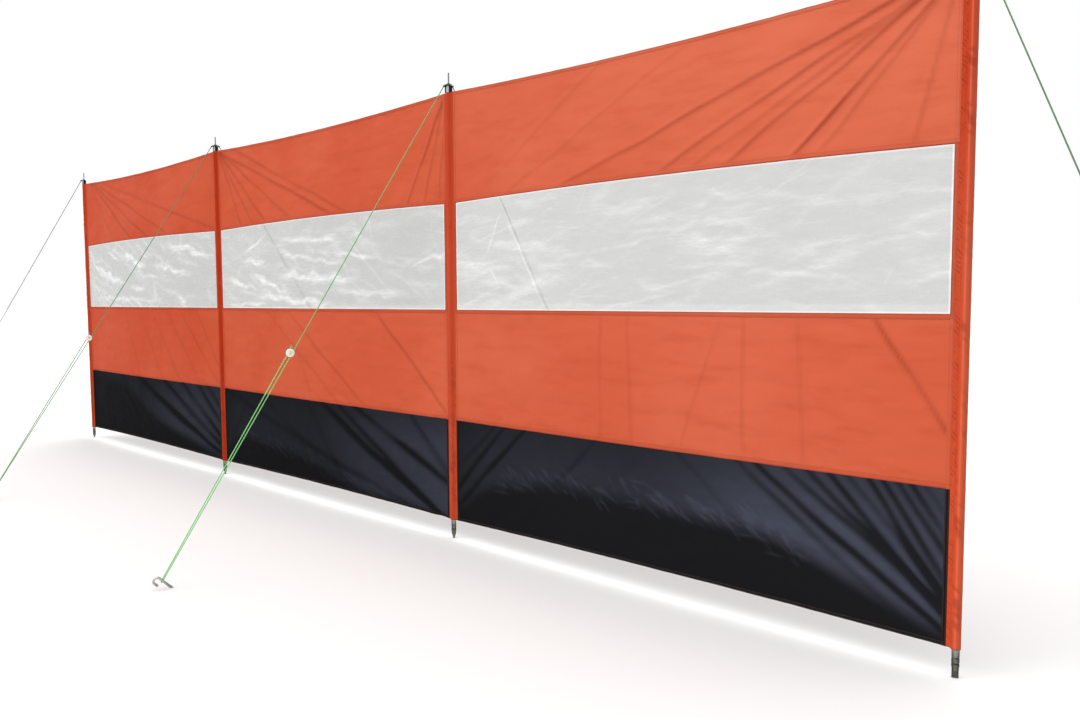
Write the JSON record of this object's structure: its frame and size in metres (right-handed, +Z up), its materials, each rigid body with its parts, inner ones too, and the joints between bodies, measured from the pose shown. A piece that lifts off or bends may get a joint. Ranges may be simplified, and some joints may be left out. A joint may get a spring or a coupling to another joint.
{
  "type": "beach windbreak",
  "caption": "Long cloth windbreak in bays with clear windows and a dark ground skirt, sleeved on steel poles that are stayed by guy lines, runners and pegs.",
  "frame": {"origin": "centre of the flat tip of the first pole's ground spike, at ground level", "axes": "+X along the row from the first pole, +Z up, and the front of the windbreak looks along -Y"},
  "size_m": [6.1879, 1.8597, 1.525],
  "materials": {
    "orange_cloth": "coated plain weave",
    "black_cloth": "coated plain weave",
    "clear_film": "creased clear film",
    "pole_steel": "plated",
    "peg_steel": "plated",
    "black_webbing": "woven tape",
    "guy_cord": "braided",
    "runner_plastic": "moulded"
  },
  "bodies": {
    "root": {"back_guy_2": "guy_cord", "back_guy_2_peg": "peg_steel", "back_guy_2_runner": "runner_plastic", "back_guy_3": "guy_cord", "back_guy_3_peg": "peg_steel", "back_guy_3_runner": "runner_plastic", "bay_1_ground_skirt": "black_cloth", "bay_1_lower_panel": "orange_cloth", "bay_1_top_panel": "orange_cloth", "bay_1_window": "clear_film", "bay_2_ground_skirt": "black_cloth", "bay_2_lower_panel": "orange_cloth", "bay_2_top_panel": "orange_cloth", "bay_2_window": "clear_film", "bay_3_ground_skirt": "black_cloth", "bay_3_lower_panel": "orange_cloth", "bay_3_top_panel": "orange_cloth", "bay_3_window": "clear_film", "front_guy_1": "guy_cord", "front_guy_1_peg": "peg_steel", "front_guy_1_runner": "runner_plastic", "front_guy_2": "guy_cord", "front_guy_2_peg": "peg_steel", "front_guy_2_runner": "runner_plastic", "front_guy_3": "guy_cord", "front_guy_3_peg": "peg_steel", "front_guy_3_runner": "runner_plastic", "front_guy_4": "guy_cord", "front_guy_4_peg": "peg_steel", "front_guy_4_runner": "runner_plastic", "ground_spike_1": "pole_steel", "ground_spike_2": "pole_steel", "ground_spike_3": "pole_steel", "ground_spike_4": "pole_steel", "pole_sleeve_1": "orange_cloth", "pole_sleeve_2": "orange_cloth", "pole_sleeve_3": "orange_cloth", "pole_sleeve_4": "orange_cloth", "pole_tube_1": "pole_steel", "pole_tube_2": "pole_steel", "pole_tube_3": "pole_steel", "pole_tube_4": "pole_steel", "top_pin_1": "pole_steel", "top_pin_2": "pole_steel", "top_pin_3": "pole_steel", "top_pin_4": "pole_steel", "top_strap_1": "black_webbing", "top_strap_2": "black_webbing", "top_strap_3": "black_webbing", "top_strap_4": "black_webbing"}
  },
  "joints": []
}
